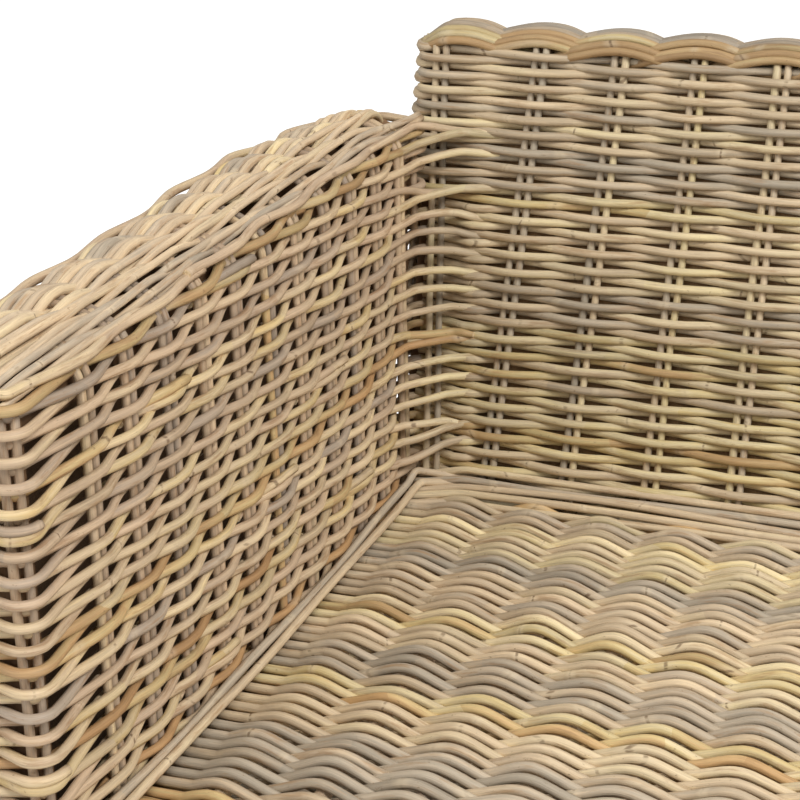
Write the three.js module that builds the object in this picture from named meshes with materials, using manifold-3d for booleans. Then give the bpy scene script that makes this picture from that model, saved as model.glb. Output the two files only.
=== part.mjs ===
// Rattan garden sofa: a timber frame covered with woven rattan panels.
// Millimetres. +Z is up, -Y is the front, and the origin is the bottom centre of the whole sofa.
import * as THREE from "three";
import { mergeVertices } from "three/addons/utils/BufferGeometryUtils.js";
import Module from "manifold-3d";

// Driving dimensions
const seatWidth = 1360; // between the two arms
const seatDepth = 665; // from the front to the face of the back, at the seat
const seatHeight = 310; // top of the woven deck
const armWidth = 120;
const armHeight = 660; // crown of the arm
const armCrown = 20; // rise of the arch over an arm
const armShoulder = 12; // upright edge of the arm's top, under the arch
const backHeight = 715;
const backThickness = 65; // front to rear, measured level
const backRake = 104; // how far the back leans from the seat to its top
const backOverhang = 35; // how far the back reaches over each arm
const footHeight = 50;

// Weave
const weave = 18; // stakes with a rod on each side
const deckWeave = 14; // top layer of the seat, over the ribs
const deckHump = 8; // height of the seat's ridges over its valleys
const deckCrest = 12; // level width on top of a ridge
const stakePitch = 75;
const stakeCrest = 16; // level width of a panel's ridge over a pair of stakes
const stakeHump = 6; // height of those ridges over the valleys between them
const armStakePitch = 57;
const armStakeStart = 100; // from the front to the first pair of stakes in the side of an arm
const ribPitch = 69;
const capHeight = 20; // woven border on top of the back
const capWave = 3; // how far the border rises and falls
const capRound = 12; // rounding of the border's front and rear edges
const trimWidth = 13; // two rods side by side, in the seam round the seat
const trimHeight = 6;

// Timber
const board = 18; // end boards of the arms
const railWidth = 40;
const railHeight = 40;
const sideRailWidth = 30;
const edgeRail = 25; // square rails under the arm's edges
const plankHeight = 25; // base planks of the arms
const midRailWidth = 30;
const deckLedge = 20; // how far the rear plank reaches under the deck
const ribWidth = 12;
const ribHeight = 12;
const batten = 15;
const postWidth = 30;
const topRailHeight = 30;
const centrePostWidth = 40;

// Joints
const clearance = 0.3;
const tenonLength = 10;
const tenonWidth = 12;
const tenonHeight = 20;
const postTenonWidth = 15;
const postTenonDepth = 9;
const plankTenonHeight = 11;
const plankTenonWidth = 40;
const edgeTenon = 12;

// Feet
const footTop = 25; // radii
const footBase = 19;
const footWaist = 22;
const footRing = 6; // height of the turned ring at the top of a foot
const spigotRadius = 8;
const spigotLength = 15;
const glideHeight = 4;
const glideRadius = 16;
const pinRadius = 2.5;
const pinLength = 12;
const footInset = 45; // from an end board to the centre of a foot

// Places worked out from the sizes above
const xInner = seatWidth / 2;
const xOuter = xInner + armWidth;
const xBack = xInner + backOverhang;
const yFront = -(seatDepth + backThickness + backRake) / 2;
const yFace = yFront + seatDepth;
const yRear = yFace + backThickness;
const rakeSlope = backRake / (backHeight - seatHeight);
const levelWeave = weave * Math.hypot(1, rakeSlope); // the raked weave, measured level
const xCoreInner = xInner + weave;
const xCoreOuter = xOuter - weave;
const yCoreFront = yFront + weave;
const yCoreRear = yRear - weave;
const zDeckUnder = seatHeight - deckWeave;
const zRailTop = zDeckUnder - ribHeight;
const zRailUnder = zRailTop - railHeight;
const zSpring = armHeight - armCrown;
const zArmSide = zSpring - armShoulder;
const innerCrown = armHeight - weave - zArmSide;
const zLowerRailTop = footHeight + railHeight;
const zCap = backHeight - capHeight;
const zTopRail = zCap - topRailHeight;
const ribCount = 2 * Math.floor((xInner - ribPitch / 2) / ribPitch) + 1;
const arcSteps = 12;
const turnSteps = 24;
const waveSteps = 6; // stations of the border for each stake

const wasm = await Module();
wasm.setup();
const { Manifold, Mesh } = wasm;

// Level distance of the back's face from the middle of the sofa, at height z
function faceAt(z) {
  return yFace + rakeSlope * (z - seatHeight);
}

function solidOf(geometry) {
  const bare = geometry.clone();
  bare.deleteAttribute("normal");
  bare.deleteAttribute("uv");
  const merged = mergeVertices(bare, clearance / 1000);
  return new Manifold(
    new Mesh({
      numProp: 3,
      vertProperties: merged.attributes.position.array,
      triVerts: new Uint32Array(merged.index.array),
    }),
  );
}

function geometryOf(solid) {
  const mesh = solid.getMesh();
  const geometry = new THREE.BufferGeometry();
  geometry.setAttribute("position", new THREE.BufferAttribute(new Float32Array(mesh.vertProperties), 3));
  geometry.setIndex(new THREE.BufferAttribute(new Uint32Array(mesh.triVerts), 1));
  const flat = geometry.toNonIndexed();
  flat.computeVertexNormals();
  return flat;
}

function boxBetween(a, b) {
  const low = a.map((v, i) => Math.min(v, b[i]));
  const high = a.map((v, i) => Math.max(v, b[i]));
  const size = high.map((v, i) => v - low[i]);
  const middle = high.map((v, i) => (v + low[i]) / 2);
  return new THREE.BoxGeometry(...size).translate(...middle);
}

function shapeOf(points) {
  return new THREE.Shape(points.map(([u, v]) => new THREE.Vector2(u, v)));
}

function extrude(shape, depth) {
  return new THREE.ExtrudeGeometry(shape, { depth, bevelEnabled: false });
}

// A section given in y and z, extruded between two values of x
function acrossX(section, xa, xb) {
  const low = Math.min(xa, xb);
  const turn = new THREE.Matrix4().set(0, 0, 1, 0, 1, 0, 0, 0, 0, 1, 0, 0, 0, 0, 0, 1);
  return extrude(shapeOf(section), Math.abs(xb - xa)).applyMatrix4(turn).translate(low, 0, 0);
}

// A section given in x and z, extruded from y0 to y1
function alongY(section, y0, y1) {
  return extrude(shapeOf(section), y1 - y0).rotateX(Math.PI / 2).translate(0, y1, 0);
}

// Points of an arch over x = middle, from its left springing to its right one
function arch(middle, halfSpan, spring, rise) {
  const radius = (halfSpan ** 2 + rise ** 2) / (2 * rise);
  const half = Math.asin(halfSpan / radius);
  return Array.from({ length: arcSteps + 1 }, (_, i) => {
    const angle = half * ((2 * i) / arcSteps - 1);
    return [middle + radius * Math.sin(angle), spring + rise - radius * (1 - Math.cos(angle))];
  });
}

// Solids by node name, so that joints can be cut before the meshes are made
const solids = new Map();
const finishes = new Map();

function add(name, geometry, finish) {
  solids.set(name, solidOf(geometry));
  finishes.set(name, finish);
}

// A stub tenon on one piece and its mortise in another; at is the middle of the shoulder
function tenon(piece, host, at, half) {
  const stub = boxBetween(at.map((v, i) => v - half[i]), at.map((v, i) => v + half[i]));
  const grown = half.map((v) => v + clearance);
  const hole = boxBetween(at.map((v, i) => v - grown[i]), at.map((v, i) => v + grown[i]));
  solids.set(piece, solids.get(piece).add(solidOf(stub)));
  solids.set(host, solids.get(host).subtract(solidOf(hole)));
}

const rattan = { color: "#b29a70", roughness: 0.55, metalness: 0 };
const goldenRattan = { color: "#bfa066", roughness: 0.5, metalness: 0 };
const timber = { color: "#8d6a45", roughness: 0.7, metalness: 0 };
const footTimber = { color: "#5d4630", roughness: 0.5, metalness: 0 };
const plastic = { color: "#2c2a28", roughness: 0.6, metalness: 0 };

const sides = { left: -1, right: 1 };

// Outline of an arm seen from the front, on side s
function armOutline(s, inner, outer, top) {
  const middle = (s * (xInner + xOuter)) / 2;
  const arc = arch(middle, (outer - inner) / 2, top.spring, top.rise);
  const ordered = s > 0 ? arc : arc.reverse();
  return [[s * outer, footHeight], [s * inner, footHeight], ...ordered];
}

// Cuts away what stands in the back's way, from its face to well behind it
function clearBack(name) {
  const half = xBack + clearance;
  const room = acrossX(raked(-clearance, 2 * backThickness, zRailTop, zCap), -half, half);
  solids.set(name, solids.get(name).subtract(solidOf(room)));
}

function armFrame(side, s) {
  const under = { spring: zArmSide - clearance, rise: innerCrown };
  const yBoardRear = yCoreRear - board;
  const yBoardFront = yCoreFront + board;
  const outline = armOutline(s, xCoreInner, xCoreOuter, under);
  add(`arm_front_board_${side}`, alongY(outline, yCoreFront, yBoardFront), timber);
  add(`arm_rear_board_${side}`, alongY(outline, yBoardRear, yCoreRear), timber);
  clearBack(`arm_rear_board_${side}`);
  const rails = {
    [`arm_inner_edge_rail_${side}`]: [xCoreInner, xCoreInner + edgeRail, zArmSide - edgeRail, zArmSide],
    [`arm_outer_edge_rail_${side}`]: [xCoreOuter - edgeRail, xCoreOuter, zArmSide - edgeRail, zArmSide],
    [`arm_seat_rail_${side}`]: [xCoreInner, xCoreInner + sideRailWidth, zRailUnder, zRailTop],
    [`arm_base_plank_${side}`]: [xCoreInner, xCoreOuter, footHeight, footHeight + plankHeight],
  };
  for (const [name, [xa, xb, z0, z1]] of Object.entries(rails)) {
    add(name, boxBetween([s * xa, yBoardFront, z0], [s * xb, yBoardRear, z1]), timber);
    const half = tenonHalf(xb - xa, z1 - z0);
    for (const [host, y] of [["front", yBoardFront], ["rear", yBoardRear]]) {
      tenon(name, `arm_${host}_board_${side}`, [(s * (xa + xb)) / 2, y, (z0 + z1) / 2], half);
    }
  }
}

// Half sizes of the tenon that suits a rail of the given width and height, along Y
function tenonHalf(width, height) {
  if (height === plankHeight && width > railWidth) {
    return [plankTenonWidth / 2, tenonLength, plankTenonHeight / 2];
  }
  if (height === edgeRail) {
    return [edgeTenon / 2, tenonLength, edgeTenon / 2];
  }
  return [tenonWidth / 2, tenonLength, tenonHeight / 2];
}

// Plan of a panel with a ridge over each pair of stakes, from u0 to u1 along it and v0 to v1 through
// it; the ridges stand on the face at v1, which may be less than v0
function ridged(u0, u1, v0, v1, stakes) {
  const out = Math.sign(v1 - v0);
  const plan = [[u0, v0], [u0, v1 - out * stakeHump]];
  stakes.forEach((u, i) => {
    plan.push([u - stakeCrest / 2, v1], [u + stakeCrest / 2, v1]);
    if (i < stakes.length - 1) {
      plan.push([(u + stakes[i + 1]) / 2, v1 - out * stakeHump]);
    }
  });
  return [...plan, [u1, v1 - out * stakeHump], [u1, v0]];
}

// Places of stakes at an even pitch between two ends
function stakesFrom(first, last, pitch) {
  const count = Math.floor((last - first) / pitch + clearance / pitch) + 1;
  return Array.from({ length: count }, (_, i) => first + i * pitch);
}

function armWeave(side, s) {
  const outline = armOutline(s, xInner, xOuter, { spring: zSpring, rise: armCrown });
  add(`arm_front_weave_${side}`, alongY(outline, yFront, yCoreFront), rattan);
  add(`arm_rear_weave_${side}`, alongY(outline, yCoreRear, yRear), rattan);
  const stakes = stakesFrom(yFront + armStakeStart, yCoreRear - stakeCrest / 2, armStakePitch);
  const plan = ridged(yCoreFront, yCoreRear, s * xCoreOuter, s * xOuter, stakes).map(([y, x]) => [x, y]);
  const outer = extrude(shapeOf(plan), zArmSide - footHeight).translate(0, 0, footHeight);
  add(`arm_outer_weave_${side}`, outer, rattan);
  const inner = boxBetween([s * xInner, yCoreFront, zRailTop], [s * xCoreInner, yCoreRear, zArmSide]);
  add(`arm_inner_weave_${side}`, inner, rattan);
  const middle = (s * (xInner + xOuter)) / 2;
  const over = arch(middle, armWidth / 2, zSpring, armCrown);
  const under = arch(middle, armWidth / 2 - weave, zArmSide, innerCrown).reverse();
  const ends = [[middle + armWidth / 2, zArmSide], [middle - armWidth / 2, zArmSide]];
  const section = [...over, ends[0], ...under, ends[1]];
  add(`arm_top_weave_${side}`, alongY(section, yCoreFront, yCoreRear), rattan);
  for (const panel of ["rear", "inner", "top"]) {
    clearBack(`arm_${panel}_weave_${side}`);
  }
}

function seatFrame() {
  const rails = {
    front_seat_rail: [yCoreFront, yCoreFront + railWidth, zRailUnder, zRailTop],
    middle_seat_rail: [-midRailWidth / 2, midRailWidth / 2, zRailUnder, zRailTop],
    rear_seat_plank: [yFace - deckLedge, yCoreRear, zRailUnder, zRailTop],
    front_base_rail: [yCoreFront, yCoreFront + railWidth, footHeight, zLowerRailTop],
    rear_base_rail: [yCoreRear - railWidth, yCoreRear, footHeight, zLowerRailTop],
  };
  for (const [name, [y0, y1, z0, z1]] of Object.entries(rails)) {
    add(name, boxBetween([-xCoreInner, y0, z0], [xCoreInner, y1, z1]), timber);
  }
  const yFrontTenon = yCoreFront + (board + railWidth) / 2;
  const yRearTenon = yCoreRear - (board + railWidth) / 2;
  const seats = { front_seat_rail: yFrontTenon, middle_seat_rail: 0, rear_seat_plank: yRearTenon };
  const bases = { front_base_rail: yFrontTenon, rear_base_rail: yRearTenon };
  const zPlank = footHeight + plankHeight / 2;
  for (const [side, s] of Object.entries(sides)) {
    for (const [name, y] of Object.entries(seats)) {
      const half = [tenonLength, tenonWidth / 2, tenonHeight / 2];
      tenon(name, `arm_seat_rail_${side}`, [s * xCoreInner, y, (zRailUnder + zRailTop) / 2], half);
    }
    for (const [name, y] of Object.entries(bases)) {
      const half = [tenonLength, tenonWidth / 2, plankTenonHeight / 2];
      tenon(name, `arm_base_plank_${side}`, [s * xCoreInner, y, zPlank], half);
    }
  }
  centrePost("front", yCoreFront);
  centrePost("rear", yCoreRear - railWidth);
}

// A short post that carries the middle of a seat rail on the base rail under it
function centrePost(end, y0) {
  const name = `${end}_centre_post`;
  const half = centrePostWidth / 2;
  add(name, boxBetween([-half, y0, zLowerRailTop], [half, y0 + railWidth, zRailUnder]), timber);
  const seat = end === "front" ? "front_seat_rail" : "rear_seat_plank";
  const size = [tenonHeight / 2, tenonWidth / 2, tenonLength];
  tenon(name, `${end}_base_rail`, [0, y0 + railWidth / 2, zLowerRailTop], size);
  tenon(name, seat, [0, y0 + railWidth / 2, zRailUnder], size);
}

const yDeckRear = faceAt(zRailTop) - clearance;

// The ribs that the seat is woven over, let into a batten at each end
function seatRibs() {
  const name = "seat_rib_frame";
  add(name, boxBetween([-xInner, yCoreFront, zRailTop], [xInner, yDeckRear, zDeckUnder]), timber);
  const first = (-(ribCount - 1) / 2) * ribPitch;
  for (let i = 0; i < ribCount - 1; i += 1) {
    const low = [first + i * ribPitch + ribWidth / 2, yCoreFront + batten, zRailTop - clearance];
    const high = [first + (i + 1) * ribPitch - ribWidth / 2, yDeckRear - batten, zDeckUnder + clearance];
    solids.set(name, solids.get(name).subtract(solidOf(boxBetween(low, high))));
  }
}

// The woven deck, with a ridge over each rib
function seatDeck() {
  const section = [[xInner, zDeckUnder], [-xInner, zDeckUnder]];
  const zValley = seatHeight - deckHump;
  section.push([-xInner, zValley]);
  for (let i = 0; i < ribCount; i += 1) {
    const x = (i - (ribCount - 1) / 2) * ribPitch;
    section.push([x - deckCrest / 2, seatHeight], [x + deckCrest / 2, seatHeight]);
    if (i < ribCount - 1) {
      section.push([x + ribPitch / 2, zValley]);
    }
  }
  section.push([xInner, zValley]);
  add("seat_deck_weave", alongY(section, yFront, yDeckRear), rattan);
}

// Two rods that run round the seat in the seam with the arms and the back
function seatTrim() {
  const yEnd = yFace - clearance;
  const inset = xInner - trimWidth;
  const outline = [
    [-xInner, yFront],
    [-inset, yFront],
    [-inset, yEnd - trimWidth],
    [inset, yEnd - trimWidth],
    [inset, yFront],
    [xInner, yFront],
    [xInner, yEnd],
    [-xInner, yEnd],
  ];
  add("seat_seam_trim", extrude(shapeOf(outline), trimHeight).translate(0, 0, seatHeight), goldenRattan);
}

function baseWeave() {
  const half = Math.floor((xInner - stakeCrest) / stakePitch) * stakePitch;
  const plan = ridged(-xInner, xInner, yCoreFront, yFront, stakesFrom(-half, half, stakePitch));
  const apron = extrude(shapeOf(plan), zDeckUnder - footHeight).translate(0, 0, footHeight);
  add("front_apron_weave", apron, rattan);
  add("base_rear_weave", boxBetween([-xInner, yCoreRear, footHeight], [xInner, yRear, zRailTop]), rattan);
}

// A raked section between two heights, from y = near to y = far behind the back's face
function raked(near, far, z0, z1) {
  return [
    [faceAt(z0) + near, z0],
    [faceAt(z0) + far, z0],
    [faceAt(z1) + far, z1],
    [faceAt(z1) + near, z1],
  ];
}

function back() {
  const near = levelWeave + clearance;
  const far = backThickness - levelWeave - clearance;
  const xPost = xBack - weave;
  add("back_front_weave", acrossX(raked(0, levelWeave, zRailTop, zCap), -xBack, xBack), rattan);
  const rear = raked(backThickness - levelWeave, backThickness, zRailTop, zCap);
  add("back_rear_weave", acrossX(rear, -xBack, xBack), rattan);
  for (const [side, s] of Object.entries(sides)) {
    add(`back_end_weave_${side}`, acrossX(raked(near, far, zRailTop, zCap), s * xPost, s * xBack), rattan);
  }
  add("back_top_rail", acrossX(raked(near, far, zTopRail, zCap), -xPost, xPost), timber);
  const outerPost = xPost - postWidth / 2;
  const places = {
    left: -outerPost,
    left_middle: -outerPost / 2,
    middle: 0,
    right_middle: outerPost / 2,
    right: outerPost,
  };
  const size = [postTenonWidth / 2, postTenonDepth / 2, tenonLength];
  for (const [place, x] of Object.entries(places)) {
    const name = `back_post_${place}`;
    const section = raked(near, far, zRailTop, zTopRail);
    add(name, acrossX(section, x - postWidth / 2, x + postWidth / 2), timber);
    tenon(name, "rear_seat_plank", [x, faceAt(zRailTop) + backThickness / 2, zRailTop], size);
    tenon(name, "back_top_rail", [x, faceAt(zTopRail) + backThickness / 2, zTopRail], size);
  }
}

// The woven border along the top of the back, which rises over each pair of stakes
function backCap() {
  const stations = Math.round((2 * xBack) / stakePitch) * waveSteps;
  const positions = [];
  const faces = [];
  const ring = (lift) => {
    const y0 = faceAt(zCap);
    const y1 = y0 + backThickness;
    const lean = rakeSlope * capHeight;
    const zTop = backHeight - capWave + lift;
    const zEdge = zTop - capRound;
    const points = [[y0, zCap], [y1, zCap]];
    for (let i = 0; i <= arcSteps; i += 1) {
      const angle = (Math.PI * i) / arcSteps;
      const half = (backThickness * Math.cos(angle)) / 2;
      points.push([(y0 + y1) / 2 + lean + half, zEdge + capRound * Math.sin(angle)]);
    }
    return points;
  };
  for (let k = 0; k <= stations; k += 1) {
    const x = xBack * ((2 * k) / stations - 1);
    const lift = capWave * Math.cos((2 * Math.PI * x) / stakePitch);
    ring(lift).forEach(([y, z]) => positions.push(x, y, z));
  }
  const count = ring(0).length;
  for (let k = 0; k < stations; k += 1) {
    for (let i = 0; i < count; i += 1) {
      const a = k * count + i;
      const b = k * count + ((i + 1) % count);
      faces.push(a, b, b + count, a, b + count, a + count);
    }
  }
  const last = stations * count;
  for (let i = 1; i < count - 1; i += 1) {
    faces.push(0, i + 1, i);
    faces.push(last, last + i, last + i + 1);
  }
  const geometry = new THREE.BufferGeometry();
  geometry.setAttribute("position", new THREE.Float32BufferAttribute(positions, 3));
  geometry.setIndex(faces);
  add("back_top_weave", geometry, goldenRattan);
}

function lathe(profile) {
  return new THREE.LatheGeometry(profile.map(([r, z]) => new THREE.Vector2(r, z)), turnSteps).rotateX(Math.PI / 2);
}

// A turned foot with a spigot in its rail, and a plastic glide pinned under it
function foot(place, host, x, y) {
  const turned = lathe([
    [0, glideHeight],
    [footBase, glideHeight],
    [footWaist, footHeight - footRing],
    [footTop, footHeight - footRing],
    [footTop, footHeight],
    [spigotRadius, footHeight],
    [spigotRadius, footHeight + spigotLength],
    [0, footHeight + spigotLength],
  ]);
  const glide = lathe([
    [0, 0],
    [glideRadius, 0],
    [glideRadius, glideHeight],
    [pinRadius, glideHeight],
    [pinRadius, glideHeight + pinLength],
    [0, glideHeight + pinLength],
  ]);
  add(`foot_${place}`, turned.translate(x, y, 0), footTimber);
  add(`foot_glide_${place}`, glide.translate(x, y, 0), plastic);
  const bore = (radius, z0, z1) => {
    const long = z1 - z0;
    return new THREE.CylinderGeometry(radius, radius, long, turnSteps)
      .rotateX(Math.PI / 2)
      .translate(x, y, (z0 + z1) / 2);
  };
  const socket = bore(spigotRadius + clearance, footHeight - clearance, footHeight + spigotLength + clearance);
  const pinHole = bore(pinRadius + clearance, glideHeight - clearance, glideHeight + pinLength + clearance);
  solids.set(host, solids.get(host).subtract(solidOf(socket)));
  solids.set(`foot_${place}`, solids.get(`foot_${place}`).subtract(solidOf(pinHole)));
}

function feet() {
  const yFootFront = yCoreFront + board + footInset;
  const yFootRear = yCoreRear - board - footInset;
  const xFoot = (xInner + xOuter) / 2;
  for (const [side, s] of Object.entries(sides)) {
    foot(`front_${side}`, `arm_base_plank_${side}`, s * xFoot, yFootFront);
    foot(`rear_${side}`, `arm_base_plank_${side}`, s * xFoot, yFootRear);
  }
  foot("front_centre", "front_base_rail", 0, yCoreFront + railWidth / 2);
  foot("rear_centre", "rear_base_rail", 0, yCoreRear - railWidth / 2);
}

for (const [side, s] of Object.entries(sides)) {
  armFrame(side, s);
  armWeave(side, s);
}
seatFrame();
seatRibs();
seatDeck();
seatTrim();
baseWeave();
back();
backCap();
feet();

const sofa = new THREE.Group();
for (const [name, solid] of solids) {
  const mesh = new THREE.Mesh(geometryOf(solid), new THREE.MeshStandardMaterial(finishes.get(name)));
  mesh.name = name;
  sofa.add(mesh);
}

export default sofa;
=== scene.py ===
import math

import bpy
import numpy as np
from mathutils import Matrix, Vector


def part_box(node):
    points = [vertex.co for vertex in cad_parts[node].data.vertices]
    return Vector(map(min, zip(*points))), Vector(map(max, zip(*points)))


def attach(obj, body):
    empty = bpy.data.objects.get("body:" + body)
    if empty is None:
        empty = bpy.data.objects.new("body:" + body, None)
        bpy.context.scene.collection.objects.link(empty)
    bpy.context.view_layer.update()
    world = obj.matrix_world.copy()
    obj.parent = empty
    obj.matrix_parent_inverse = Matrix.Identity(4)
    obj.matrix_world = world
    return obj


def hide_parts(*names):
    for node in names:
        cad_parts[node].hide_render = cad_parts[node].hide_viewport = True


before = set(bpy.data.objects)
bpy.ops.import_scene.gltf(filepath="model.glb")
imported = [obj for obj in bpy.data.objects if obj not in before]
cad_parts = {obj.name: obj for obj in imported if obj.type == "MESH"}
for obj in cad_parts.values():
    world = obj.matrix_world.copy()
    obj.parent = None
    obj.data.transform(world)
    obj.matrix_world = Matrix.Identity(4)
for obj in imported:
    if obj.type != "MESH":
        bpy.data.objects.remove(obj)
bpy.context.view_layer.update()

# Rattan garden sofa. Lengths are millimetres until a mesh is made.
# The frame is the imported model's: +Z up, -Y the open front, the origin at the bottom centre.
MM = 0.001
rng = np.random.default_rng(21)


def span(node):
    """Lowest and highest corner of a CAD node, in millimetres"""
    low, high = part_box(node)
    return np.array(low) / MM, np.array(high) / MM


inner_low, inner_high = span("arm_inner_weave_left")
outer_low, _ = span("arm_outer_weave_left")
_, arm_end_high = span("arm_rear_weave_left")
arm_top_low, arm_top_high = span("arm_top_weave_left")
apron_low, _ = span("front_apron_weave")
_, deck_high = span("seat_deck_weave")
face_low, _ = span("back_front_weave")
_, rear_high = span("back_rear_weave")
cap_low, cap_high = span("back_top_weave")

# Outer faces of the weave
X_INNER = -inner_high[0]
X_OUTER = -outer_low[0]
X_BACK = cap_high[0]
Y_FRONT = apron_low[1]
Y_REAR = arm_end_high[1]
Z_BASE = apron_low[2]
Z_FOOT = Z_BASE + 2  # low end of the stakes and linings
Z_SIDE = arm_top_low[2]
Z_CROWN = arm_top_high[2]
Z_DECK = deck_high[2]
Z_RIBS = face_low[2]
Z_CAP = cap_low[2]
Z_BACK = cap_high[2]
HALF = (inner_high[0] - inner_low[0]) / 2  # half the thickness of a woven panel
RAKE = (cap_low[1] - face_low[1]) / (Z_CAP - Z_RIBS)
LEVEL_HALF = HALF * math.hypot(1, RAKE)  # the same for the raked back, measured level
BACK_DEPTH = rear_high[1] - cap_low[1]

# Middle surfaces of the woven skins, where the stakes stand
XI = X_INNER + HALF
XO = X_OUTER - HALF
XM = (X_INNER + X_OUTER) / 2
YF = Y_FRONT + HALF
YR = Y_REAR - HALF
XE = X_BACK - HALF

# Radii of the rods
ROD = 3.75
ARM_ROD = 3.8
BACK_ROD = 3.95
SEAT_ROD = 4.1
STAKE = 3.35
RIB = 6.4

# Weave
PAIR = 4.9  # from the middle of a pair of stakes to each of them
GRIP = 5.5  # half the length over which a rod lies level on a pair
ROUNDNESS = 0.2  # of its bends: 0 is straight from stake to stake, 0.5 a smooth wave
SWING = 5.8  # how far a rod leaves the middle surface
LAST_SWING = 3.4  # the same in an arm's uppermost row
RISE = 0.6  # share of it by which a rod rises between two stakes that it passes behind
BACK_SWING = 5.1
TOP_SWING = 5.6
ROUGH = 2.1  # how much less even an arm's rows are than the others
CORNER = 26  # length over which a row turns a corner
BACK_CORNER = 20
BEHIND_BACK = 34  # how far an arm's other rows run on along the back, in its skin
OVERLAP = 9  # how far a rod runs on past the stake that hides its joint
OVERLAP_MORE = 6  # a usual addition to it
APART, APART_RUN = 2.4, 45  # how far both rods leave their row there, and over what length
SHOWN = 0.45  # share of the joints whose old end shows on the face
SHOWN_TIP = (9, 24)  # how far such an end runs on past its stake
TIP_SLOPE = 0.12  # and how steeply it stands off
LIFT, LIFT_LEAD, LIFT_RUN = 3.4, 55, 50  # it rises above its row before the stake
SETTLE_RUN = 40  # the new rod comes up from below over this length
NEAR_END = 60  # joints stay this far from the ends of a row

# Rows
ROW_PITCH = 8.3
ROW_START = 6  # from the bottom of the panels to the first row
ROWS_UNDER_DECK = 28
ROWS_ARM = 71
EVEN_ROWS = 30  # above this row of an arm the pitch grows
ROW_GROWTH = 0.002
BACK_START = 3  # from the bottom of the back to its first row
BACK_ROW_PITCH = 7.45
TIGHT_PITCH = 6.9  # of the back's uppermost rows
ROWS_BACK = 56
ROWS_EVEN_BACK = 44

# Tops of the arms
TOP_ROWS = 19  # odd, so that the rows alternate right over the arm
TOP_CORNER = 52  # length over which their rods roll over its ends
TOP_LEG = 9  # how far they reach down its front, at least
TOP_SLOPE = (12, 36)  # how far before the front and the rear they start to slope down
TOP_ROUND = 10  # the same, more, at the outer edge
TOP_END, TOP_DIVE = 9, 26  # how far before the rear they end, and how deep
SHOULDER = 13  # how deep the outer rear corner lies
SHOULDER_Y, SHOULDER_LENGTH = 110, 150  # where it starts to drop, and over what length
SHOULDER_X, SHOULDER_WIDTH = 25, 70  # the same across, from this far inside the arm's middle
SHOULDER_ROWS = 4  # how many rows below the top follow it
EDGE_ROWS = 8  # thinner rods along the inner edge
EDGE_PITCH = 4.7
EDGE_START = 3.4  # how many of them start on the inner face
EDGE_DIP = 0.4  # share of the swing by which they dip at every third stake
EDGE_LIFT = 2.5  # how far they lie above the skin
EDGE_SLIPS = 5  # how many slip down the inner face towards the rear
EDGE_SLIDE = 3.9  # how much further each of them slips than the one below it
EDGE_RUN = 125  # over this length
EDGE_REAR_LIFT, EDGE_PAST = 2.0, 3  # how far they rise there, and go on past the last stakes

# Stakes
ARM_STAKES = [-317 + 57 * k for k in range(11)]  # their y, from front to rear
BACK_PITCH = 75
BACK_STAKES = [BACK_PITCH * (k - 9) for k in range(19)]  # their x
CORNER_STAKE = 15  # from an arm's faces to its corner stakes
FRONT_STAKES = [BACK_PITCH * (k - 8) for k in range(17)]
LEAN = {675: -9, 600: 9, 525: 8, 450: 5, 375: 3}  # stakes of the back lean to the middle by this much
LEAN_LEVEL, LEAN_HEIGHT = 500, 170  # from this level up, over this height
BOW = 6  # the inner face of an arm bulges towards the seat

# Corner stakes of the left arm
X_OUT = -X_OUTER + CORNER_STAKE
X_IN = -X_INNER - CORNER_STAKE
Y_AHEAD = Y_FRONT + CORNER_STAKE
Y_BEHIND = Y_REAR - CORNER_STAKE

# Rods that cut the corner from an arm to the back
LEAVE = (37, 37, 31, 31)  # how far before the back they leave the arm, at these levels
LEAVE_LEVELS = (300, 450, 490, 700)
LEAVE_END = 26  # how far before the arm's end, above the level where the back stands clear
MEET = ((25, 4), (48, 0))  # how far from the arm they near the back, and how close they get
CUT_CORNER = 18  # length over which they bend
DROP = (3, 9, 17)  # by how much they sink on the way, at these levels
DROP_LEVELS = (320, 450, 620)
SINK_END, SINK_RUN = 22, 80  # they have sunk this far before their end, over this length
JOINED = 0.85  # share of them that end in a row of the back
SINK_SEEN = 0.6  # share of the drop that is counted when that row is picked
EARLY = 8  # these are close to the back this much nearer to the arm
PASSED, BESIDE = 12, 1.2  # how far they go on past its pair, and how far above that row they lie
TIPS, TIPS_CLEAR = (-24, 12), (2, 5)  # where the others end, and how far before the back
ARM_TIP = 14  # length over which the last of them tapers
Z_CLEAR = 565  # above this level the back's face is behind the arm
Z_LOW = Z_DECK + 16  # below this level no rod cuts the corner
Z_END_STAKE = 478  # above this level the stake on the back's end stands clear of the arm

# Seat
RIB_PITCH = 69
RIB_COUNT = 19
SEAT_PITCH = 7.3
SEAT_SWING = 10.4
SEAT_CREASE = 0.07  # how sharply its rods bend over a rib: 0 is a smooth wave
SEAT_DRIFT = 3.0  # how far the humps stray along the seat
SEAT_START, SEAT_GAP = 5, 4  # from the front to the first rod, and from the last one to the back
SEAT_LOW, SEAT_LOW_RUN = 0.62, 60  # share of the humps left beside the arms, and over what length
SEAT_LEVEL = Z_DECK - SEAT_SWING - ROD + 0.6

SWELL_LENGTH = 110.0  # of the waves that rows near one another share
SWELL_HEIGHT = 48.0
SHADE_SHEET_GAP = 9.6  # from a panel's middle surface to the sheet of painted shade behind it
BACK_SHADE_SHEET_GAP = 8.9
SHADE_SHEET_HALF = 0.3  # half the thickness of a sheet of painted shade
SEAT_SHADE_SHEET_DEPTH = 31.0  # from the top of the deck to the sheet of painted shade below it
STEP = 2.0  # spacing of the points while a rod is shaped
LONGEST = 15.0  # of the rings of a finished rod
SHARPEST = 0.13  # turn from ring to ring, in radians


def back_face(z):
    """y of the face of the back at a level"""
    return face_low[1] + RAKE * (z - Z_RIBS)


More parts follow.
